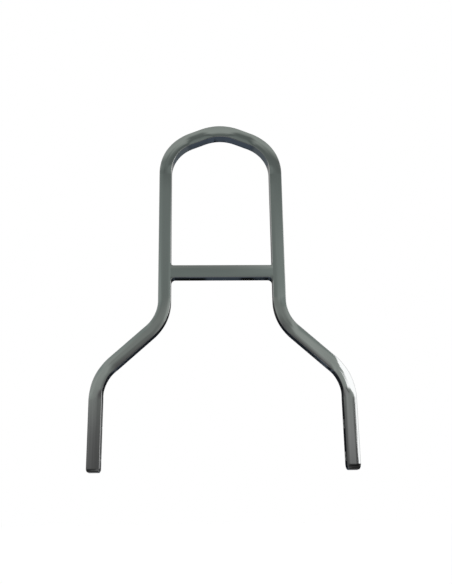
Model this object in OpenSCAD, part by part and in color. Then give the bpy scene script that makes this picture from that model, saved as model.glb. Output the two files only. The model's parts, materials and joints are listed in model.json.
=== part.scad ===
// Upright passenger back frame for a motorcycle, bent from one square steel bar.
// It stands on its two leg ends: X across, Y from the front face to the back, Z up.
// The origin is midway between the leg ends, on the middle plane of the bar.

/* [Bar] */
// Side of the square bar, used for the hoop and for the crossbar
bar_w = 12.7; // [10:0.1:15]
// Radius along the four long edges of the bar
bar_edge_r = 0.5; // [0.3:0.1:2]

/* [Hoop] */
// Height from the leg ends to the top of the arch
hoop_h = 357; // [330:0.5:450]
// Distance between the centre lines of the two uprights
upright_spacing = 114.3; // [100:0.1:130]
// Distance between the centre lines of the two legs
leg_spacing = 243.3; // [210:0.1:270]

/* [Arch] */
// Fall of the two arch sides from the peak to the shoulders, in degrees
arch_slope = 22; // [16:0.5:26]
// Radius of the bar's centre line at the peak
peak_r = 44.5; // [30:0.5:52]
// Radius of the bar's centre line at each shoulder
shoulder_r = 40.5; // [32:0.5:44]

/* [Lower bends] */
// Angle of the bar from upright where it spreads between the upright and the leg
spread_angle = 48; // [40:1:55]
// Height at which the centre lines of the leg and of the spreading run would cross
leg_corner_z = 88.5; // [75:0.5:110]
// Radius of the bar's centre line at the bend over each leg
leg_bend_r = 42; // [30:0.5:50]
// Radius of the bar's centre line at the bend under each upright
upright_bend_r = 42; // [30:0.5:50]

/* [Bent section] */
// Share of a bend's stretch and squeeze that the bar's front and back take up, by drawing in and swelling
bend_swell = 0.45; // [0:0.05:0.6]
// Length before and after each end of a bend over which the section changes
bend_blend = 6; // [1:0.5:6.5]
// Turn between neighbouring sections of a bend, in degrees
bend_step = 3; // [2:0.5:6]

/* [Leg ends] */
// Radius ground round the four edges of each leg end
end_r = 3; // [1:0.1:4]
// Diameter of the bolt holes through each leg
bolt_hole_d = 8; // [6:0.1:9]
// Height of the lower bolt hole over the leg end
bolt_hole_z = 12.5; // [9:0.1:20]
// Distance between the two bolt holes of a leg
bolt_hole_spacing = 30.5; // [20:0.1:40]
// Width of the chamfer round each mouth of a bolt hole
bolt_hole_chamfer = 0.4; // [0.2:0.1:0.8]

/* [Crossbar] */
// Height of the crossbar's centre line over the leg ends
cross_bar_z = 195; // [185:0.5:215]
// Bevel cut on the front and back of each crossbar end for the weld to fill
weld_bevel = 2; // [1:0.1:2.4]
// Radius of the weld ground smooth on top of the crossbar
upper_weld_r = 2.5; // [2.5:0.1:5]
// Radius of the weld ground smooth under the crossbar
lower_weld_r = 4; // [2.5:0.1:6]

/* [Hidden] */

// Smoothness of every round surface
$fn = 96;

// Steps along each rounded corner of the bar's section, and along each rounded leg end
edge_steps = 5;

// Steps over which the section changes on the straight run at each end of a bend
blend_steps = 3;

// Distance that a cutting tool reaches past the faces that it cuts
tool_reach = 1;
mouth_reach = 0.01;

chrome = [0.62, 0.64, 0.63];
weld_chrome = [0.55, 0.57, 0.56];

bar_half = bar_w / 2;
upright_x = upright_spacing / 2;
leg_x = leg_spacing / 2;
upright_inner_x = upright_x - bar_half;
cross_bar_top = cross_bar_z + bar_half;
cross_bar_bottom = cross_bar_z - bar_half;

// Corners where the centre lines of neighbouring straight runs would cross
upright_corner_z = leg_corner_z + (leg_x - upright_x) / tan(spread_angle);
peak_z = hoop_h - bar_half + peak_r * (1 / cos(arch_slope) - 1);
shoulder_z = peak_z - upright_x * tan(arch_slope);

// Corners of the centre line from the right-hand leg end to the left-hand one, with the bend radius at each
right_corners = [
    [leg_x, leg_corner_z, leg_bend_r],
    [upright_x, upright_corner_z, upright_bend_r],
    [upright_x, shoulder_z, shoulder_r],
];
left_corners = [for (i = [2:-1:0]) [-right_corners[i].x, right_corners[i].y, right_corners[i].z]];
corners = concat([[leg_x, 0, 0]], right_corners, [[0, peak_z, peak_r]], left_corners, [[-leg_x, 0, 0]]);
last = len(corners) - 1;

function point(i) = [corners[i].x, corners[i].y];
function direction(i) = atan2(point(i + 1).y - point(i).y, point(i + 1).x - point(i).x);
function along(p, dir, distance) = p + distance * [cos(dir), sin(dir)];

// Turn of the bar at a corner, positive to the left of the way from the right-hand leg
function turn(i) =
    let (change = direction(i) - direction(i - 1))
    change > 180 ? change - 360 : change < -180 ? change + 360 : change;

// How far the section has changed, from 0 to 1, at a distance past the start of a bend
function blend(distance) =
    let (t = max(0, min(1, (distance + bend_blend) / (2 * bend_blend))))
    t * t * (3 - 2 * t);

// A station holds the place and direction of the centre line there, the swelling of the left side
// and the size of the section, both as shares
function bend_shape(i, distance) =
    let (r = corners[i].z, f = blend(distance))
    [sign(turn(i)) * f * bend_swell * bar_half / r, 1];

// Stations of one bend, always with one in its middle, and a few more on the straight run at each end
function bend_stations(i) =
    let (r = corners[i].z,
         a = turn(i),
         n = 2 * ceil(abs(a) / bend_step / 2),
         dir_in = direction(i - 1),
         dir_out = direction(i),
         reach = r * tan(abs(a) / 2),
         start = along(point(i), dir_in, -reach),
         end = along(point(i), dir_out, reach),
         centre = along(start, dir_in + 90 * sign(a), r),
         arc = r * abs(a) * PI / 180)
    concat(
        [for (k = [blend_steps:-1:1])
            let (past = -bend_blend * k / blend_steps)
            concat([along(start, dir_in, past), dir_in], bend_shape(i, past))],
        [for (k = [0:n])
            let (dir = dir_in + a * k / n, past = min(k, n - k) / n * arc)
            concat([along(centre, dir - 90 * sign(a), r), dir], bend_shape(i, past))],
        [for (k = [1:blend_steps])
            let (past = -bend_blend * k / blend_steps)
            concat([along(end, dir_out, -past), dir_out], bend_shape(i, past))]);

// Stations of a leg end that is ground round: the section shrinks towards the end
function end_stations(x, dir) =
    [for (k = [0:edge_steps])
        let (a = 90 * k / edge_steps)
        [[x, end_r * (1 - cos(a))], dir, 0, 1 - end_r * (1 - sin(a)) / bar_half]];

right_end = end_stations(leg_x, 90);
left_end = end_stations(-leg_x, -90);
stations = concat(
    right_end,
    [for (i = [1:last - 1]) each bend_stations(i)],
    [for (k = [edge_steps:-1:0]) left_end[k]]);

// Outline of the bar's section: across the bar in the plane of the hoop, then front to back
section = [for (c = [0:3], k = [0:edge_steps])
    let (flat = bar_half - bar_edge_r, a = 90 * (c + k / edge_steps), m = 45 + 90 * c)
    [flat * sign(cos(m)) + bar_edge_r * cos(a), flat * sign(sin(m)) + bar_edge_r * sin(a)]];

// One ring of points round the bar at a station
function ring(station) =
    let (p = station[0], dir = station[1], swell = station[2], size = station[3])
    [for (q = section)
        let (across = q.x * size,
             depth = q.y * size * (1 + swell * q.x / bar_half),
             c = along(p, dir + 90, across))
        [c.x, -depth, c.y]];

// The bent bar: its section carried along the centre line from leg end to leg end
module bent_bar() {
    m = len(section);
    n = len(stations);
    polyhedron(
        points = [for (station = stations) each ring(station)],
        faces = concat(
            [[for (j = [0:m - 1]) j]],
            [for (i = [0:n - 2], j = [0:m - 1], half = [0, 1])
                let (k = (j + 1) % m)
                half == 0
                    ? [i * m + k, i * m + j, (i + 1) * m + j]
                    : [i * m + k, (i + 1) * m + j, (i + 1) * m + k]],
            [[for (j = [m - 1:-1:0]) (n - 1) * m + j]]));
}

// Bolt hole straight through a leg, with a chamfer at each mouth
module bolt_hole(z) {
    chamfer_h = bolt_hole_chamfer + mouth_reach;
    mouth_d = bolt_hole_d + 2 * chamfer_h;
    translate([leg_x, 0, z]) rotate([0, 90, 0]) {
        cylinder(h = bar_w + 2 * tool_reach, d = bolt_hole_d, center = true);
        for (side = [0, 180])
            rotate([side, 0, 0])
                translate([0, 0, bar_half - bolt_hole_chamfer])
                    cylinder(h = chamfer_h, d1 = bolt_hole_d, d2 = mouth_d);
    }
}

// The hoop: one bar bent from leg to leg and drilled near its ends
module hoop() {
    color(chrome)
        difference() {
            bent_bar();
            for (left = [0, 1], z = [bolt_hole_z, bolt_hole_z + bolt_hole_spacing])
                mirror([left, 0, 0]) bolt_hole(z);
        }
}

// Straight length of bar along X or Z, about its own middle
module straight_bar(length) {
    flat = bar_w - 2 * bar_edge_r;
    linear_extrude(length, center = true) {
        square([bar_w, flat], center = true);
        square([flat, bar_w], center = true);
        for (x = [-flat / 2, flat / 2], y = [-flat / 2, flat / 2])
            translate([x, y]) circle(r = bar_edge_r);
    }
}

// Wedge that bevels one long edge of a crossbar end, to be cut away
module end_bevel() {
    translate([upright_inner_x, -bar_half, cross_bar_bottom - tool_reach])
        linear_extrude(bar_w + 2 * tool_reach)
            polygon([[-weld_bevel, 0], [tool_reach, 0], [tool_reach, weld_bevel], [0, weld_bevel]]);
}

// The crossbar: a straight bar cut to fit between the uprights
module cross_bar() {
    color(chrome)
        difference() {
            translate([0, 0, cross_bar_z])
                rotate([0, 90, 0]) straight_bar(2 * upright_inner_x);
            for (left = [0, 1], back = [0, 1])
                mirror([left, 0, 0]) mirror([0, back, 0]) end_bevel();
        }
}

// Round tool that hollows a weld to radius r and rounds its edges like the bar's
module weld_cutter(r) {
    flat = bar_w - 2 * bar_edge_r;
    rotate([90, 0, 0])
        rotate_extrude()
            difference() {
                translate([0, -bar_half]) square([r + bar_edge_r, bar_w]);
                translate([r, -flat / 2]) square([bar_edge_r, flat]);
                for (y = [-flat / 2, flat / 2])
                    translate([r + bar_edge_r, y]) circle(r = bar_edge_r);
            }
}

// Weld in the corner between the right-hand upright and the top of the crossbar
module corner_weld(r) {
    side = r + bar_edge_r;
    difference() {
        translate([upright_inner_x - r, -bar_half, -bar_edge_r]) cube([side, bar_w, side]);
        translate([upright_inner_x - r, 0, r]) weld_cutter(r);
    }
}

// Weld all round the right-hand crossbar end, ground flush with the bars
module weld() {
    flat = bar_w - 2 * bar_edge_r;
    upright_length = 4 * bar_w;
    color(weld_chrome)
        difference() {
            union() {
                translate([0, 0, cross_bar_top]) corner_weld(upper_weld_r);
                translate([0, 0, cross_bar_bottom]) mirror([0, 0, 1]) corner_weld(lower_weld_r);
                translate([upright_inner_x - weld_bevel, -bar_half, cross_bar_z - flat / 2])
                    cube([weld_bevel + bar_edge_r, bar_w, flat]);
            }
            translate([upright_x, 0, cross_bar_z]) straight_bar(upright_length);
            cross_bar();
        }
}

module right_weld() {
    weld();
}

module left_weld() {
    mirror([1, 0, 0]) weld();
}

hoop();
cross_bar();
left_weld();
right_weld();
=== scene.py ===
"""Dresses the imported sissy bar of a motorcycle: smooth bent bars, chrome, studio and camera."""
import json
from math import atan2, ceil, copysign, cos, pi, radians, sin, tan

import bpy
from mathutils import Matrix, Vector
from mathutils.kdtree import KDTree

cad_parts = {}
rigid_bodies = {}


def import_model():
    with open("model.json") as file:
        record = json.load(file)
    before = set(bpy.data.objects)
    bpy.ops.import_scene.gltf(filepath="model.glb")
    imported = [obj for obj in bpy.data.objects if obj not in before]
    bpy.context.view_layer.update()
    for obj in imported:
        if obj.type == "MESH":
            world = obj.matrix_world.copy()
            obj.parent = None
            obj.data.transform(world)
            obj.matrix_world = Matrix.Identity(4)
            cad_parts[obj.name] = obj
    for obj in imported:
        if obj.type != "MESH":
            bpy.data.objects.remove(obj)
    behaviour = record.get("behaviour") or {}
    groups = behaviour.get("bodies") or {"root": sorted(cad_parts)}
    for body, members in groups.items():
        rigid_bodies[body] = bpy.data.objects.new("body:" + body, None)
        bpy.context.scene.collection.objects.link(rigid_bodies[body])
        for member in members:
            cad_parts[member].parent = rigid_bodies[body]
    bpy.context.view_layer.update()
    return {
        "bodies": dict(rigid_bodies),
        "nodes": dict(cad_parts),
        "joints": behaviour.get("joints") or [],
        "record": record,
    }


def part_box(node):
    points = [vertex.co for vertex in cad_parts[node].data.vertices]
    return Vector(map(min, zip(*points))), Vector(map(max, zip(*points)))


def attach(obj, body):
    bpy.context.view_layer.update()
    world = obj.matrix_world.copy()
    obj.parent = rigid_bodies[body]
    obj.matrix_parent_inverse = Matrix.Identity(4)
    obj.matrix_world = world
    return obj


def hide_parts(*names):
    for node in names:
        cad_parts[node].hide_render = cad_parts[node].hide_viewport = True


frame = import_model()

MM = 0.001
X, Y, Z = Vector((1, 0, 0)), Vector((0, 1, 0)), Vector((0, 0, 1))

# Sizes of the square bar and of its bends, in metres
BAR = 12.7 * MM
HALF = BAR / 2
EDGE_RADIUS = 0.5 * MM
UPRIGHT_X = 57.15 * MM
SPREAD_ANGLE = radians(48)
LEG_CORNER_Z = 88.5 * MM
LOWER_BEND_RADIUS = 42 * MM
ARCH_SLOPE = radians(22)
PEAK_RADIUS = 44.5 * MM
SHOULDER_RADIUS = 40.5 * MM
RIGHT_END_LENGTH, LEFT_END_LENGTH, END_DEPTH = 5.5 * MM, 3.5 * MM, 2 * MM

# What cold bending does to the section: its inner side swells, its outer side draws in and the bar thins.
# The change grows from a little before each end of a bend to a place inside it.
BEND_SWELL, RIGHT_LEG_SWELL, LEFT_UPRIGHT_SWELL = 0.45, 0.51, 0.18
LEG_BEND_THINNING, UPRIGHT_BEND_THINNING = 0.07, 0.02
BLEND_BEFORE, BLEND_INSIDE = 3 * MM, 9 * MM

# Buffing rolls each side of the bar off towards its corners: where that starts, and its slope at the corner.
# The mesh takes part of it, so that the outline keeps its size, and the polish of the chrome takes the rest.
ROLL_START = 1.0 * MM
ROLL_ANGLE = radians(1)
POLISH_ROLL = radians(5)

# Bolt holes through the legs, and how far the tool that cuts them sticks out of the bar
HOLE_RADIUS = 4 * MM
HOLE_Z = (12.5 * MM, 43 * MM)
HOLE_CHAMFER = 0.4 * MM
TOOL_REACH = 1 * MM

# Weld metal at each end of the crossbar, and how near the bar's top or underside, in edge radii, a point has
# to be for the weld to move it
UPPER_WELD_RADIUS = 2.5 * MM
LOWER_WELD_RADIUS = 4 * MM
WELD_MARGIN = 1.01

# Fineness and shading of the meshes
BEND_STEP = radians(1)
BLEND_STEPS = 4
CORNER_STEPS = 8
ROLL_STEPS = 6
RUN_STEP = 8 * MM
HOLE_STEPS = 72
WELD_STEPS = 14
SHARP_ANGLE = radians(28)
FLATS_WEIGHT = 100

hoop_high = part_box("hoop")[1]
bar_low, bar_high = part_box("cross_bar")
LEG_X = hoop_high[0] - HALF
HOOP_TOP = hoop_high[2]
CROSS_Z = (bar_low[2] + bar_high[2]) / 2
INNER_X = UPRIGHT_X - HALF


# Centre line of the hoop

def smooth(t):
    """Smooth step from 0 to 1."""
    t = max(0.0, min(1.0, t))
    return t * t * (3 - 2 * t)


def hoop_corners():
    """Corners of the centre line from right leg end to left: (x, z, bend radius, thinning, swelling)."""
    upright_z = LEG_CORNER_Z + (LEG_X - UPRIGHT_X) / tan(SPREAD_ANGLE)
    peak_z = HOOP_TOP - HALF + PEAK_RADIUS * (1 / cos(ARCH_SLOPE) - 1)
    shoulder_z = peak_z - UPRIGHT_X * tan(ARCH_SLOPE)
    right = [
        (LEG_X, 0, 0, 0, 0),
        (LEG_X, LEG_CORNER_Z, LOWER_BEND_RADIUS, LEG_BEND_THINNING, BEND_SWELL),
        (UPRIGHT_X, upright_z, LOWER_BEND_RADIUS, UPRIGHT_BEND_THINNING, BEND_SWELL),
        (UPRIGHT_X, shoulder_z, SHOULDER_RADIUS, UPRIGHT_BEND_THINNING, BEND_SWELL),
    ]
    left = [(-x, *rest) for x, *rest in reversed(right)]
    right[1] = (*right[1][:4], RIGHT_LEG_SWELL)
    left[1] = (*left[1][:4], LEFT_UPRIGHT_SWELL)
    return right + [(0, peak_z, PEAK_RADIUS, 0, BEND_SWELL)] + left


def heading(angle):
    """Unit vector in the plane of the hoop."""
    return Vector((cos(angle), 0, sin(angle)))


def station(place, angle, swell=0.0, thick=1.0, size=1.0):
    """Place and direction of the centre line, with the shape of the section there."""
    return {"place": place.copy(), "angle": angle, "swell": swell, "thick": thick, "size": size}


def bend_station(place, angle, side, corner, past):
    """Station in or near a bend, where the bar thins, its inner side swells and its outer side draws in."""
    radius, thinning, swell = corner[2:]
    f = smooth((past + BLEND_BEFORE) / (BLEND_BEFORE + BLEND_INSIDE))
    return station(place, angle, side * f * swell * HALF / radius, 1 - f * thinning)


def end_stations(place, angle, radius):
    """Stations of the rounded first end of a bar, from its flat end inwards."""
    out = []
    for k in range(CORNER_STEPS + 1):
        a = pi / 2 * k / CORNER_STEPS
        shrink = 1 - END_DEPTH * (1 - sin(a)) / HALF
        out.append(station(place + heading(angle) * radius * (1 - cos(a)), angle, size=shrink))
    return out


def run_stations(start, end, angle):
    """Stations between two bends, both ends left out."""
    n = max(2, ceil((end - start).length / RUN_STEP))
    return [station(start.lerp(end, k / n), angle) for k in range(1, n)]


def hoop_stations():
    """All stations of the hoop, from the right leg's end to the left one's."""
    corners = hoop_corners()
    points = [Vector((corner[0], 0, corner[1])) for corner in corners]
    angles = [atan2((b - a).z, (b - a).x) for a, b in zip(points, points[1:])]
    out = end_stations(points[0], angles[0], RIGHT_END_LENGTH)
    last = points[0] + heading(angles[0]) * RIGHT_END_LENGTH
    for i in range(1, len(points) - 1):
        radius = corners[i][2]
        change = (angles[i] - angles[i - 1] + pi) % (2 * pi) - pi
        side = 1 if change > 0 else -1
        reach = radius * tan(abs(change) / 2)
        way_in, way_out = heading(angles[i - 1]), heading(angles[i])
        start, end = points[i] - way_in * reach, points[i] + way_out * reach
        centre = start + heading(angles[i - 1] + side * pi / 2) * radius
        n = 2 * ceil(abs(change) / BEND_STEP / 2)
        out += run_stations(last, start - way_in * BLEND_BEFORE, angles[i - 1])
        for k in range(BLEND_STEPS, 0, -1):
            past = -BLEND_BEFORE * k / BLEND_STEPS
            out.append(bend_station(start + way_in * past, angles[i - 1], side, corners[i], past))
        for k in range(n + 1):
            angle = angles[i - 1] + change * k / n
            past = min(k, n - k) / n * radius * abs(change)
            place = centre + heading(angle - side * pi / 2) * radius
            out.append(bend_station(place, angle, side, corners[i], past))
        for k in range(1, BLEND_STEPS + 1):
            past = -BLEND_BEFORE * k / BLEND_STEPS
            out.append(bend_station(end - way_out * past, angles[i], side, corners[i], past))
        last = end + way_out * BLEND_BEFORE
    finish = end_stations(points[-1], angles[-1] + pi, LEFT_END_LENGTH)
    out += run_stations(last, finish[-1]["place"], angles[-1])
    out += [dict(s, angle=angles[-1]) for s in reversed(finish)]
    return out


# Meshes swept along stations

def side_profile():
    """One side of the bar from corner to corner, rolled off by buffing: (along the side, drop) pairs."""
    flat = HALF - EDGE_RADIUS
    width = flat - ROLL_START
    out = []
    for k in range(-ROLL_STEPS, ROLL_STEPS + 1):
        share = abs(k) / ROLL_STEPS
        side = copysign(ROLL_START + width * share, k) if k else 0.0
        out.append((side, width * tan(ROLL_ANGLE) * share * share / 2))
    return out


def section_points():
    """Outline of the square bar: (across, depth) pairs, with four rolled sides and four rounded corners."""
    out = []
    profile = side_profile()
    edge, drop = profile[-1]
    for side in range(4):
        c, s = cos(side * pi / 2), sin(side * pi / 2)
        for along, fall in profile:
            x, y = HALF - fall, along
            out.append((x * c - y * s, x * s + y * c))
        x, y = HALF - drop, edge
        radius = EDGE_RADIUS - drop
        for k in range(1, CORNER_STEPS):
            a = pi / 2 * k / CORNER_STEPS
            px, py = x - radius + radius * cos(a), y + radius * sin(a)
            out.append((px * c - py * s, px * s + py * c))
    return out


SECTION = section_points()


def ring(s):
    """Points of the section at a station."""
    side = heading(s["angle"] + pi / 2)
    out = []
    for across, depth in SECTION:
        wide = depth * s["size"] * (1 + s["swell"] * across / HALF)
        out.append(s["place"] + side * across * s["thick"] * s["size"] - Y * wide)
    return out


def skin(name, rings):
    """Closed mesh through rings of points, with its ends capped."""
    m = len(rings[0])
    points = [tuple(p) for r in rings for p in r]
    faces = [tuple(range(m))]
    for i in range(len(rings) - 1):
        for j in range(m):
            k = (j + 1) % m
            faces.append((i * m + k, i * m + j, (i + 1) * m + j, (i + 1) * m + k))
    faces.append(tuple(reversed(range((len(rings) - 1) * m, len(rings) * m))))
    mesh = bpy.data.meshes.new(name)
    mesh.from_pydata(points, [], faces)
    mesh.validate()
    mesh.shade_smooth()
    piece = bpy.data.objects.new(name, mesh)
    bpy.context.scene.collection.objects.link(piece)
    return piece


def bolt_hole_cutter(name, sign, z):
    """Round tool along X with a flare that chamfers both mouths of a bolt hole."""
    reach = HALF + TOOL_REACH
    flare = HALF - HOLE_CHAMFER
    profile = [
        (-reach, HOLE_RADIUS + reach - flare), (-flare, HOLE_RADIUS),
        (flare, HOLE_RADIUS), (reach, HOLE_RADIUS + reach - flare),
    ]
    centre = X * sign * LEG_X + Z * z
    turns = [2 * pi * k / HOLE_STEPS for k in range(HOLE_STEPS)]
    rings = [[centre + X * x + Y * r * sin(a) + Z * r * cos(a) for a in turns] for x, r in profile]
    return skin(name, rings)


def drill(piece, cutters):
    """Cuts the tools out of the piece and removes them."""
    for cutter in cutters:
        cut = piece.modifiers.new("drill", "BOOLEAN")
        cut.operation = "DIFFERENCE"
        cut.solver = "EXACT"
        cut.object = cutter
    graph = bpy.context.evaluated_depsgraph_get()
    drilled = bpy.data.meshes.new_from_object(piece.evaluated_get(graph))
    piece.modifiers.clear()
    piece.data = drilled
    for cutter in cutters:
        bpy.data.objects.remove(cutter)


def straighten(piece, stations):
    """Stores where each point of the piece was before the bar was bent: along it, across it and in depth."""
    tree = KDTree(len(stations))
    run, lengths = 0.0, []
    for i, s in enumerate(stations):
        if i:
            run += (s["place"] - stations[i - 1]["place"]).length
        lengths.append(run)
        tree.insert(s["place"], i)
    tree.balance()
    mesh = piece.data
    store = mesh.attributes.new("straight_place", "FLOAT_VECTOR", "POINT")
    for v in mesh.vertices:
        i = tree.find(Vector((v.co.x, 0, v.co.z)))[1]
        off = v.co - stations[i]["place"]
        angle = stations[i]["angle"]
        along = lengths[i] + off.dot(heading(angle))
        store.data[v.index].vector = (along, off.dot(heading(angle + pi / 2)), v.co.y)


def finish_piece(piece, stations, replaced):
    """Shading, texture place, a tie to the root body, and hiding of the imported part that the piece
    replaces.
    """
    straighten(piece, stations)
    piece.data.set_sharp_from_angle(angle=SHARP_ANGLE)
    even = piece.modifiers.new("even_flats", "WEIGHTED_NORMAL")
    even.keep_sharp = True
    even.weight = FLATS_WEIGHT
    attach(piece, "root")
    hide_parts(replaced)


def make_hoop():
    """The bent bar with its four bolt holes."""
    stations = hoop_stations()
    piece = skin("bent_hoop", [ring(s) for s in stations])
    cutters = [bolt_hole_cutter("tool", sign, z) for sign in (-1, 1) for z in HOLE_Z]
    drill(piece, cutters)
    finish_piece(piece, stations, "hoop")
    return piece


def bar_stations(start, end):
    """Stations of a straight bar along X."""
    n = ceil((end - start) / RUN_STEP)
    return [station(X * (start + (end - start) * k / n) + Z * CROSS_Z, 0.0) for k in range(n + 1)]


def make_cross_bar():
    """The straight bar between the welds."""
    reach = INNER_X - LOWER_WELD_RADIUS
    stations = bar_stations(-reach, reach)
    piece = skin("straight_cross_bar", [ring(s) for s in stations])
    finish_piece(piece, stations, "cross_bar")
    return piece


def fillet(distance, radius):
    """Rise of a round fillet at a distance from the wall that it runs up to."""
    d = max(0.0, min(radius, distance))
    return radius - (radius * radius - (radius - d) ** 2) ** 0.5


def make_weld(name, sign, replaced):
    """Weld metal round a crossbar end: flush in front and behind, and hollowed above and below."""
    turns = [pi / 2 * k / WELD_STEPS for k in range(WELD_STEPS + 1)]
    places = [INNER_X - LOWER_WELD_RADIUS * (1 - sin(a)) for a in turns]
    places.append(INNER_X + EDGE_RADIUS)
    edge_start = HALF - EDGE_RADIUS * WELD_MARGIN
    rings, stations = [], []
    for x in places:
        up = fillet(INNER_X - x, UPPER_WELD_RADIUS)
        down = fillet(INNER_X - x, LOWER_WELD_RADIUS)
        s = station(X * sign * x + Z * CROSS_Z, 0.0)
        points = []
        for p in ring(s):
            rise = p.z - CROSS_Z
            move = up if rise > edge_start else -down if rise < -edge_start else 0
            points.append(p + Z * move)
        rings.append(points)
        stations.append(s)
    if sign < 0:
        rings.reverse()
        stations.reverse()
    piece = skin(name, rings)
    finish_piece(piece, stations, replaced)
    return piece


hoop = make_hoop()
cross_bar = make_cross_bar()
left_weld = make_weld("ground_weld_left", -1, "left_weld")
right_weld = make_weld("ground_weld_right", 1, "right_weld")


# Materials

class Graph:
    """Short calls for making and linking shader nodes."""

    def __init__(self, tree):
        self.tree = tree
        tree.nodes.clear()

    def node(self, kind, inputs=None, **settings):
        """New node of a kind, with values or links for its inputs."""
        made = self.tree.nodes.new("ShaderNode" + kind)
        for key, value in settings.items():
            setattr(made, key, value)
        for key, value in (inputs or {}).items():
            self.put(made.inputs[key], value)
        return made

    def put(self, socket, value):
        """Links a socket's output to an input, or sets the input to a plain value."""
        if isinstance(value, bpy.types.NodeSocket):
            self.tree.links.new(value, socket)
        else:
            socket.default_value = value

    def math(self, operation, a, b=0.0, clamp=False):
        """Result of a sum on one or two values."""
        return self.node("Math", {0: a, 1: b}, operation=operation, use_clamp=clamp).outputs[0]

    def step(self, value, low, high, first=0.0, last=1.0):
        """Smooth change from first to last as value goes from low to high."""
        names = {"Value": value, "From Min": low, "From Max": high, "To Min": first, "To Max": last}
        return self.node("MapRange", names, interpolation_type="SMOOTHSTEP").outputs[0]

    def mix(self, factor, a, b):
        """Colour a where factor is 0 and colour b where it is 1, by the colour sockets of the node."""
        made = self.node("Mix", data_type="RGBA")
        self.put(made.inputs[0], factor)
        self.put(made.inputs[6], a)
        self.put(made.inputs[7], b)
        return made.outputs[2]


def grey(value, tint=(1, 1, 1)):
    """Colour of a grey level, with a tint where one is given."""
    return (value * tint[0], value * tint[1], value * tint[2], 1)


# Colours of the chrome: plain, a little deeper, and worn at the corners
CHROME = (0.549, 0.556, 0.554, 1)
CHROME_DEEP = (0.520, 0.530, 0.531, 1)
CHROME_WORN = (0.575, 0.572, 0.560, 1)

# Worn corners: where they start and are full, as shares of the edge radius, and how much rougher they are
WEAR_PLACES, WEAR_CLOUD, WEAR_ROUGHNESS = (1.4, 0.5), (0.35, 0.65), 0.05

# Textures of the polish: scale along the bar, across it and in depth, then detail and roughness
CLOUD = (25, 90, 90), 3.0, 0.5
LINES = (60, 5200, 5200), 4.0, 0.6
WAVES = (22, 70, 70), 1.0, 0.4
STREAKS = (24, 520, 520), 2.0, 0.5

# Roughness between the polishing lines and in them, and strength and depth in metres of each unevenness
LINES_SPAN, LINES_ROUGHNESS = (0.3, 0.7), (0.035, 0.075)
WAVES_BUMP = 0.10, 0.6 * MM
STREAKS_BUMP = 1.0, 0.03 * MM
LINES_BUMP = 0.05, 0.02 * MM


def roll_fall(g, side):
    """Height that the polish takes off a side of the bar, at a place along that side, in metres."""
    past = g.math("MAXIMUM", g.math("SUBTRACT", g.math("ABSOLUTE", side), ROLL_START), 0.0)
    rate = tan(POLISH_ROLL) / (2 * (HALF - EDGE_RADIUS - ROLL_START))
    return g.math("MULTIPLY", g.math("MULTIPLY", past, past), -rate)


def grain(g, place, scale, detail, roughness):
    """Noise stretched by a scale along the bar, across it and in depth."""
    stretched = g.node("Mapping", {"Vector": place, "Scale": scale}).outputs[0]
    names = {"Vector": stretched, "Scale": 1.0, "Detail": detail, "Roughness": roughness}
    return g.node("TexNoise", names).outputs["Fac"]


def bump(g, height, strength, depth, normal=None):
    """Normal of an uneven surface, on top of another normal where one is given."""
    names = {"Height": height, "Strength": strength, "Distance": depth}
    if normal is not None:
        names["Normal"] = normal
    return g.node("Bump", names).outputs[0]


def make_chrome():
    """Plated steel, polished along the bar: slow waves, faint polishing lines, and softer, worn corners."""
    material = bpy.data.materials.new("chrome_plate")
    material.use_nodes = True
    g = Graph(material.node_tree)
    place = g.node("Attribute", attribute_name="straight_place").outputs["Vector"]
    parts = g.node("SeparateXYZ", {0: place})
    across, depth = parts.outputs[1], parts.outputs[2]
    nearest = g.math("MINIMUM", g.math("ABSOLUTE", across), g.math("ABSOLUTE", depth))
    start, full = WEAR_PLACES
    corner = g.step(nearest, HALF - EDGE_RADIUS * start, HALF - EDGE_RADIUS * full)

    cloud = grain(g, place, *CLOUD)
    lines = grain(g, place, *LINES)
    colour = g.mix(cloud, CHROME_DEEP, CHROME)
    wear = g.math("MULTIPLY", corner, g.step(cloud, *WEAR_CLOUD))
    colour = g.mix(wear, colour, CHROME_WORN)
    rough = g.step(lines, *LINES_SPAN, *LINES_ROUGHNESS)
    rough = g.math("ADD", rough, g.math("MULTIPLY", wear, WEAR_ROUGHNESS))

    roll = bump(g, roll_fall(g, across), 1.0, 1.0)
    slow = bump(g, grain(g, place, *WAVES), *WAVES_BUMP, roll)
    streaky = bump(g, grain(g, place, *STREAKS), *STREAKS_BUMP, slow)
    fine = bump(g, lines, *LINES_BUMP, streaky)
    names = {"Base Color": colour, "Roughness": rough, "Metallic": 1.0, "Normal": fine}
    surface = g.node("BsdfPrincipled", names).outputs[0]
    g.put(g.node("OutputMaterial").inputs[0], surface)
    return material


chrome = make_chrome()
for piece in (hoop, cross_bar, left_weld, right_weld):
    piece.data.materials.clear()
    piece.data.materials.append(chrome)


# Studio

FLOOR_Z = -0.16
FLOOR_REACH = 12.0
FLOOR_COLOUR = (0.90, 0.90, 0.89, 1)
SPECK_SCALE, SPECK_DETAIL, SPECK_LEVEL = 40.0, 2.0, 0.92
FLOOR_GLOW = 0.12

# Strength of the white world on the object
WORLD_LIGHT = 0.75

# Soft lamp: the way to it from the object, its strength and its width
LAMP_WAY = Vector((0.45, -0.55, 1.0))
LAMP_STRENGTH = 0.9
LAMP_WIDTH = radians(40)

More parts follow.
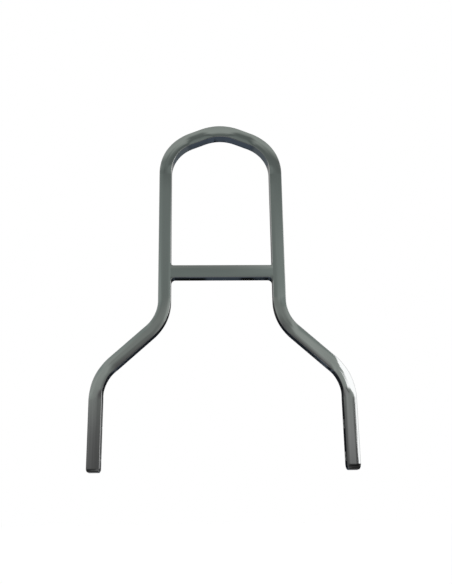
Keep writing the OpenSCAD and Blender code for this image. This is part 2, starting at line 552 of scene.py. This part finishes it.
# Dark tent that the metal mirrors. Its levels are (height in degrees, grey level). Azimuths are in degrees
# from straight ahead of the object, positive to its right.
TENT_CENTRE = Vector((0, 0, 0.17))
TENT_RADIUS = 3.0
TENT_GAP = 0.005
TENT_RINGS, TENT_SPOKES = 24, 48
RAMP_LOW, RAMP_HIGH = -45.0, 90.0
LEFT_LEVELS = [
    (-45, 0.22), (-32, 0.03), (-24, 0.05), (-13, 0.05), (-5, 0.08), (-1, 0.15), (3, 0.2), (6, 0.34),
    (8, 0.41), (14, 0.44), (17, 0.41), (22, 0.32), (26, 0.29), (30, 0.24), (32, 0.25), (34, 0.36),
    (36, 0.45), (60, 0.4), (90, 0.3),
]
MIDDLE_LEVELS = [
    (-45, 0.22), (-32, 0.03), (-24, 0.24), (-13, 0.24), (-8, 0.06), (-5, 0.06), (0, 0.12), (3, 0.15),
    (6, 0.2), (8, 0.22), (11, 0.29), (13, 0.3), (16, 0.25), (22, 0.265), (26, 0.26), (28.5, 0.17),
    (31, 0.175), (32.5, 0.24), (34.5, 0.37), (37, 0.46), (60, 0.4), (90, 0.3),
]
RIGHT_LEVELS = [
    (-45, 0.22), (-32, 0.03), (-24, 0.04), (-13, 0.04), (-5, 0.06), (0, 0.28), (3, 0.36), (6, 0.36),
    (9, 0.45), (14, 0.45), (17, 0.34), (21, 0.32), (25, 0.26), (29, 0.19), (32.5, 0.18), (34.5, 0.28),
    (38, 0.46), (60, 0.4), (90, 0.3),
]
LEFT_TO_MIDDLE = (-15, -5)
MIDDLE_TO_RIGHT = (1, 9)
BACK_LEVELS = [
    (-45, 0.36), (-30, 0.34), (-24, 0.2), (-21.5, 0.09), (-18, 0.105), (-14, 0.1), (-10, 0.035),
    (-7, 0.016), (3, 0.012), (10, 0.035), (16, 0.09), (24, 0.27), (35, 0.35), (60, 0.3), (90, 0.3),
]
FRONT_TO_BACK = (80, 100)

# Tints of the tent, and the heights at which each is full in front and behind
LOW_TINT = (0.99, 1.0, 0.99)
RUN_TINT = (0.92, 1.0, 0.94)
FRONT_TINT = (0.87, 1.0, 0.94)
HIGH_TINT = (0.91, 1.0, 0.93)
BACK_TINT = (0.80, 1.0, 1.30)
FRONT_TINTS = [
    (3, LOW_TINT), (8, RUN_TINT), (14, RUN_TINT), (17, FRONT_TINT), (31, FRONT_TINT), (35, HIGH_TINT),
]
BACK_TINTS = [(-26, LOW_TINT), (-21.5, BACK_TINT), (-5, BACK_TINT), (10, LOW_TINT)]

# What the undersides of the shoulders mirror
SHOULDER_SIDES, SHOULDER_HEIGHTS = (16, 20), (-14, -8)
SHOULDER_LEVEL, SHOULDER_TINT = 0.14, (0.86, 1.0, 1.12)

# Pale walls far to each side, which only edges mirror in the camera's view
WALL_SIDES = (28, 36, 84, 92)
WALL_LEVELS = [
    (-45, 0.03), (-30, 0.05), (-24, 0.28), (-13, 0.28), (-7, 0.1), (6, 0.1), (12, 0.85), (60, 0.6),
    (90, 0.4),
]
REAR_WALL_SIDES = (28, 36)
REAR_WALL_LEVELS = [
    (-45, 0.36), (-20, 0.3), (-8, 0.22), (0, 0.2), (10, 0.3), (30, 0.45), (60, 0.45), (90, 0.4),
]

# Dark gap low behind, left of the middle
GAP_SIDES, GAP_SOFT = (-15.5, -5), 2
GAP_HEIGHTS = (-14.5, -12.5, -8, -6)
GAP_LEVEL = 0.022

# Soft glow straight behind, which the back of the bar mirrors
GLOW_SIDES, GLOW_HEIGHTS = (4.5, 6.5), (-13, -11, 4, 9)
GLOW_LEVEL = 0.20

# Faint unevenness of what the legs and the lower runs mirror
CLOTH_SCALE, CLOTH_DETAIL, CLOTH_SHARE = 8.0, 2.0, 0.5
CLOTH_HEIGHTS = (12, 18)

# Bright opening low on the right, with a darker frame beside it
OPENING_SIDE = (21.2, 22.1)
OPENING_TOP = (23, 27)
OPENING_END, OPENING_BOTTOM = (100, 125), (-4, 0)
OPENING_LOW, OPENING_HIGH = 1.7, 1.8
OPENING_HEIGHTS = (7, 11)
OPENING_FAR_LOW, OPENING_FAR_HIGH = 0.9, 1.15
OPENING_FADE, OPENING_FADE_HEIGHTS = (31, 41), (10, 14)
FRAME_SIDE = (15.6, 17.4)
FRAME_TOP = (5.5, 8.0)
FRAME_SHARE = 0.5

# Black panel low behind the object, with two dim windows. Azimuths behind are from straight behind, positive
# to the right.
PANEL_MIDDLE, PANEL_HALF, PANEL_SOFT = 2.2, 8.0, 1
PANEL_HEIGHTS = (-18.2, -17.4, -14.5, -13)
PANEL_BLACK, PANEL_NAVY, PANEL_DIM = 0.004, 0.055, 0.030
WINDOW_SIDES = (-0.7, 4.4)
DIM_WINDOW_SIDES = (5.6, 7.6)
WINDOW_SOFT = 0.6


def seen_directly(g):
    """1 for what the camera sees, and for what metal and glass show."""
    path = g.node("LightPath")
    seen = g.math("MAXIMUM", path.outputs["Is Camera Ray"], path.outputs["Is Glossy Ray"])
    return g.math("MAXIMUM", seen, path.outputs["Is Transmission Ray"])


def make_floor():
    """Plain pale floor that the object hangs over on its mounts."""
    mesh = bpy.data.meshes.new("floor")
    r = FLOOR_REACH
    corners = [(-r, -r, FLOOR_Z), (r, -r, FLOOR_Z), (r, r, FLOOR_Z), (-r, r, FLOOR_Z)]
    mesh.from_pydata(corners, [], [(0, 1, 2, 3)])
    floor = bpy.data.objects.new("floor", mesh)
    bpy.context.scene.collection.objects.link(floor)
    material = bpy.data.materials.new("pale_floor")
    material.use_nodes = True
    g = Graph(material.node_tree)
    place = g.node("NewGeometry").outputs["Position"]
    names = {"Vector": place, "Scale": SPECK_SCALE, "Detail": SPECK_DETAIL}
    speck = g.node("TexNoise", names).outputs["Fac"]
    colour = g.mix(speck, FLOOR_COLOUR, grey(SPECK_LEVEL))
    matt = g.node("BsdfDiffuse", {"Color": colour}).outputs[0]
    strength = g.math("MULTIPLY", seen_directly(g), FLOOR_GLOW)
    glow = g.node("Emission", {"Color": grey(1), "Strength": strength}).outputs[0]
    both = g.node("AddShader", {0: matt, 1: glow}).outputs[0]
    g.put(g.node("OutputMaterial").inputs[0], both)
    mesh.materials.append(material)
    return floor


def make_tent():
    """Closed tent of dark cloth, seen only in the metal: the dark room that the chrome mirrors."""
    rings, spokes = TENT_RINGS, TENT_SPOKES
    points = []
    for i in range(1, rings):
        tilt = pi * i / rings
        for j in range(spokes):
            turn = 2 * pi * j / spokes
            x, y, z = sin(tilt) * cos(turn), sin(tilt) * sin(turn), cos(tilt)
            z = TENT_CENTRE.z + TENT_RADIUS * z
            points.append((TENT_RADIUS * x, TENT_RADIUS * y, max(z, FLOOR_Z + TENT_GAP)))
    top, bottom = len(points), len(points) + 1
    points += [(0, 0, TENT_CENTRE.z + TENT_RADIUS), (0, 0, FLOOR_Z + TENT_GAP)]
    faces = []
    for i in range(rings - 2):
        for j in range(spokes):
            k = (j + 1) % spokes
            faces.append((i * spokes + j, i * spokes + k, (i + 1) * spokes + k, (i + 1) * spokes + j))
    for j in range(spokes):
        k = (j + 1) % spokes
        faces.append((top, k, j))
        faces.append((bottom, (rings - 2) * spokes + j, (rings - 2) * spokes + k))
    mesh = bpy.data.meshes.new("tent")
    mesh.from_pydata(points, [], faces)
    tent = bpy.data.objects.new("tent", mesh)
    bpy.context.scene.collection.objects.link(tent)
    mesh.materials.append(make_cloth())
    tent.visible_camera = False
    tent.visible_diffuse = False
    tent.visible_shadow = False
    return tent


def ramp(g, height, stops):
    """Colour against height in degrees, from (height, colour) stops."""
    span = RAMP_HIGH - RAMP_LOW
    spot = g.math("DIVIDE", g.math("SUBTRACT", height, RAMP_LOW), span, clamp=True)
    node = g.node("ValToRGB", {0: spot})
    steps = node.color_ramp.elements
    while len(steps) < len(stops):
        steps.new(0.5)
    for step, (angle, colour) in zip(steps, stops):
        step.position = (angle - RAMP_LOW) / span
        step.color = colour
    return node.outputs[0]


def level_ramp(g, height, levels):
    """Grey against height in degrees, from (height, level) stops."""
    return ramp(g, height, [(angle, grey(value)) for angle, value in levels])


def tint_ramp(g, height, tints):
    """Tint against height in degrees, from (height, tint) stops."""
    return ramp(g, height, [(angle, grey(1, tint)) for angle, tint in tints])


def band(g, value, low, full, ending, end):
    """Rises from 0 to 1 between low and full, and falls back to 0 between ending and end."""
    return g.math("MULTIPLY", g.step(value, low, full), g.step(value, ending, end, 1, 0))


def window(g, value, low, high, soft):
    """1 where the value is between low and high, with soft edges."""
    return band(g, value, low, low + soft, high - soft, high)


def make_cloth():
    """Light that the tent gives, by direction from the object."""
    material = bpy.data.materials.new("tent_cloth")
    material.use_nodes = True
    g = Graph(material.node_tree)
    place = g.node("NewGeometry").outputs["Position"]
    way = g.node("VectorMath", {0: place, 1: TENT_CENTRE}, operation="SUBTRACT").outputs[0]
    way = g.node("VectorMath", {0: way}, operation="NORMALIZE").outputs[0]
    parts = g.node("SeparateXYZ", {0: way})
    east, north, up = parts.outputs[0], parts.outputs[1], parts.outputs[2]
    azimuth = g.math("DEGREES", g.math("ARCTAN2", east, g.math("MULTIPLY", north, -1)))
    behind = g.math("DEGREES", g.math("ARCTAN2", east, north))
    height = g.math("DEGREES", g.math("ARCSINE", up))

    left = level_ramp(g, height, LEFT_LEVELS)
    middle = level_ramp(g, height, MIDDLE_LEVELS)
    right = level_ramp(g, height, RIGHT_LEVELS)
    front = g.mix(g.step(azimuth, *LEFT_TO_MIDDLE), left, middle)
    front = g.mix(g.step(azimuth, *MIDDLE_TO_RIGHT), front, right)
    frame = g.math("MULTIPLY", g.step(azimuth, *FRAME_SIDE), g.step(height, *FRAME_TOP, 1, 0))
    front = g.mix(g.math("MULTIPLY", frame, FRAME_SHARE), front, grey(0))
    tint = tint_ramp(g, height, FRONT_TINTS)
    front = g.node("VectorMath", {0: front, 1: tint}, operation="MULTIPLY").outputs[0]

    back = level_ramp(g, height, BACK_LEVELS)
    tint = tint_ramp(g, height, BACK_TINTS)
    back = g.node("VectorMath", {0: back, 1: tint}, operation="MULTIPLY").outputs[0]
    wide = g.math("ABSOLUTE", behind)
    shoulder = g.math("MULTIPLY", g.step(wide, *SHOULDER_SIDES), g.step(height, *SHOULDER_HEIGHTS))
    back = g.mix(shoulder, back, grey(SHOULDER_LEVEL, SHOULDER_TINT))
    glow = g.math("MULTIPLY", g.step(wide, *GLOW_SIDES, 1, 0), band(g, height, *GLOW_HEIGHTS))
    back = g.mix(glow, back, grey(GLOW_LEVEL, LOW_TINT))
    gap = g.math("MULTIPLY", window(g, behind, *GAP_SIDES, GAP_SOFT), band(g, height, *GAP_HEIGHTS))
    back = g.mix(gap, back, grey(GAP_LEVEL, BACK_TINT))
    back = g.mix(g.step(wide, *REAR_WALL_SIDES), back, level_ramp(g, height, REAR_WALL_LEVELS))

    off_middle = g.math("ABSOLUTE", g.math("SUBTRACT", behind, PANEL_MIDDLE))
    panel = g.step(off_middle, PANEL_HALF - PANEL_SOFT, PANEL_HALF + PANEL_SOFT, 1, 0)
    panel = g.math("MULTIPLY", panel, band(g, height, *PANEL_HEIGHTS))
    lit = window(g, behind, *WINDOW_SIDES, WINDOW_SOFT)
    panel_colour = g.mix(lit, grey(PANEL_BLACK), grey(PANEL_NAVY, BACK_TINT))
    lit = window(g, behind, *DIM_WINDOW_SIDES, WINDOW_SOFT)
    panel_colour = g.mix(lit, panel_colour, grey(PANEL_DIM, BACK_TINT))
    back = g.mix(panel, back, panel_colour)

    names = {"Vector": way, "Scale": CLOTH_SCALE, "Detail": CLOTH_DETAIL, "Roughness": 0.5}
    uneven = g.math("SUBTRACT", g.node("TexNoise", names).outputs["Fac"], 0.5)
    share = g.math("MULTIPLY", g.math("MULTIPLY", uneven, CLOTH_SHARE), g.step(height, *CLOTH_HEIGHTS, 1, 0))
    front = g.node("VectorMath", {0: front, 3: g.math("ADD", share, 1.0)}, operation="SCALE").outputs[0]
    aside = g.math("ABSOLUTE", azimuth)
    front = g.mix(band(g, aside, *WALL_SIDES), front, level_ramp(g, height, WALL_LEVELS))

    colour = g.mix(g.step(aside, *FRONT_TO_BACK), front, back)
    opening = g.math("MULTIPLY", g.step(azimuth, *OPENING_SIDE), g.step(height, *OPENING_TOP, 1, 0))
    opening = g.math("MULTIPLY", opening, g.step(azimuth, *OPENING_END, 1, 0))
    opening = g.math("MULTIPLY", opening, g.step(height, *OPENING_BOTTOM))
    bright = g.step(height, *OPENING_HEIGHTS, OPENING_LOW, OPENING_HIGH)
    far = g.step(height, *OPENING_FADE_HEIGHTS, OPENING_FAR_LOW, OPENING_FAR_HIGH)
    bright = g.mix(g.step(azimuth, *OPENING_FADE), bright, far)
    colour = g.mix(opening, colour, bright)
    light = g.node("Emission", {"Color": colour, "Strength": 1.0}).outputs[0]
    g.put(g.node("OutputMaterial").inputs[0], light)
    return material


def make_world():
    """Plain white all round, at full strength for the camera and for what metal and glass show."""
    world = bpy.data.worlds.new("studio")
    bpy.context.scene.world = world
    world.use_nodes = True
    g = Graph(world.node_tree)
    strength = g.step(seen_directly(g), 0, 1, WORLD_LIGHT, 1.0)
    light = g.node("Background", {"Color": grey(1.0), "Strength": strength}).outputs[0]
    g.put(g.node("OutputWorld").inputs[0], light)


def make_lamp():
    """One broad soft lamp, high on the right in front, for the shadow."""
    lamp = bpy.data.lights.new("soft_lamp", "SUN")
    lamp.energy = LAMP_STRENGTH
    lamp.angle = LAMP_WIDTH
    holder = bpy.data.objects.new("soft_lamp", lamp)
    holder.rotation_euler = LAMP_WAY.to_track_quat("Z", "Y").to_euler()
    holder.visible_glossy = False
    bpy.context.scene.collection.objects.link(holder)
    return holder


floor = make_floor()
tent = make_tent()
lamp = make_lamp()
make_world()


# Camera at the photograph's viewing angle

CAMERA_PLACE = Vector((-0.02127, -0.72541, -0.03974))
CAMERA_AIM = Vector((0.00409, 0, 0.17489))
CAMERA_ROLL = radians(-0.80)
PHOTO_WIDTH = 452
FOCAL_PIXELS = 756.1
SENSOR = 36.0

scene = bpy.context.scene
lens = bpy.data.cameras.new("camera")
lens.sensor_fit = "HORIZONTAL"
lens.sensor_width = SENSOR
lens.lens = SENSOR * FOCAL_PIXELS / PHOTO_WIDTH
camera = bpy.data.objects.new("camera", lens)
turned = (CAMERA_AIM - CAMERA_PLACE).to_track_quat("-Z", "Y").to_matrix()
turned = turned @ Matrix.Rotation(CAMERA_ROLL, 3, "Z")
camera.matrix_world = Matrix.Translation(CAMERA_PLACE) @ turned.to_4x4()
scene.collection.objects.link(camera)
scene.camera = camera
scene.view_settings.view_transform = "Standard"

bpy.context.view_layer.update()
